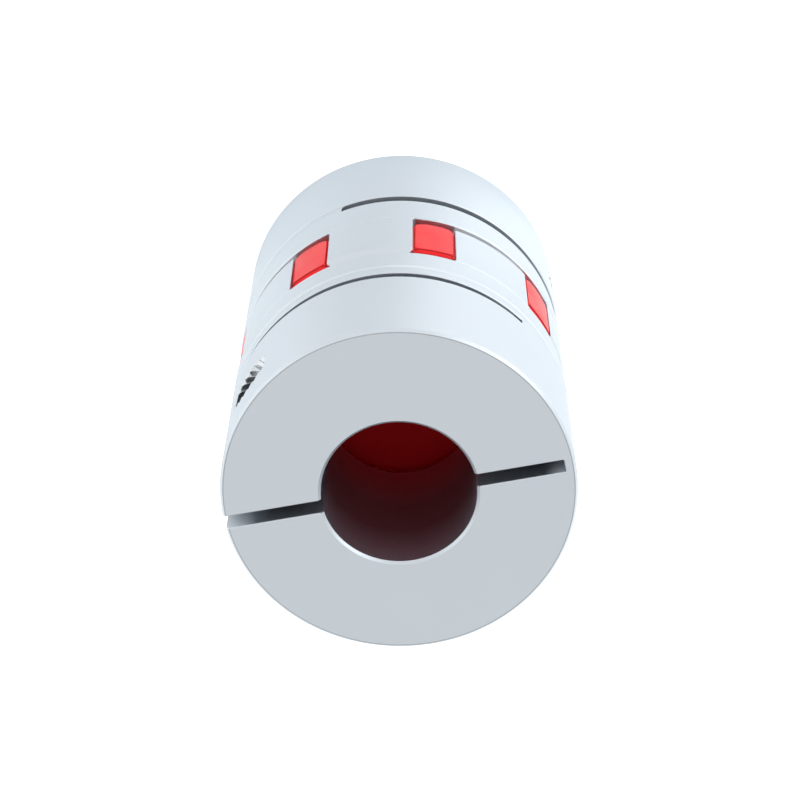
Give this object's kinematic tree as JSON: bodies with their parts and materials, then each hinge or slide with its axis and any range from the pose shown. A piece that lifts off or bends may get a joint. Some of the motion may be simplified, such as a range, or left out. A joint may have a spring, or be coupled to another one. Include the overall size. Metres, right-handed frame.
{
  "type": "jaw coupling",
  "caption": "Clamping jaw coupling: split aluminium clamp hubs with interlocking jaws either side of a soft red spider.",
  "frame": {"origin": "centre of the rear hub's end face, which the coupling stands on", "axes": "+Z along both shafts' axis, from the rear hub to the front hub; +Y towards the front hub's clamp screw head"},
  "size_m": [0.08, 0.08, 0.1128],
  "materials": {
    "anodised_aluminium": "satin clear anodised",
    "red_elastomer": "smooth, slightly glossy moulded elastomer",
    "black_screw_steel": "black oxide"
  },
  "bodies": {
    "root": {"front_hub": "anodised_aluminium", "rear_hub": "anodised_aluminium", "spider": "red_elastomer", "front_clamp_screw": "black_screw_steel", "rear_clamp_screw": "black_screw_steel"}
  },
  "joints": []
}
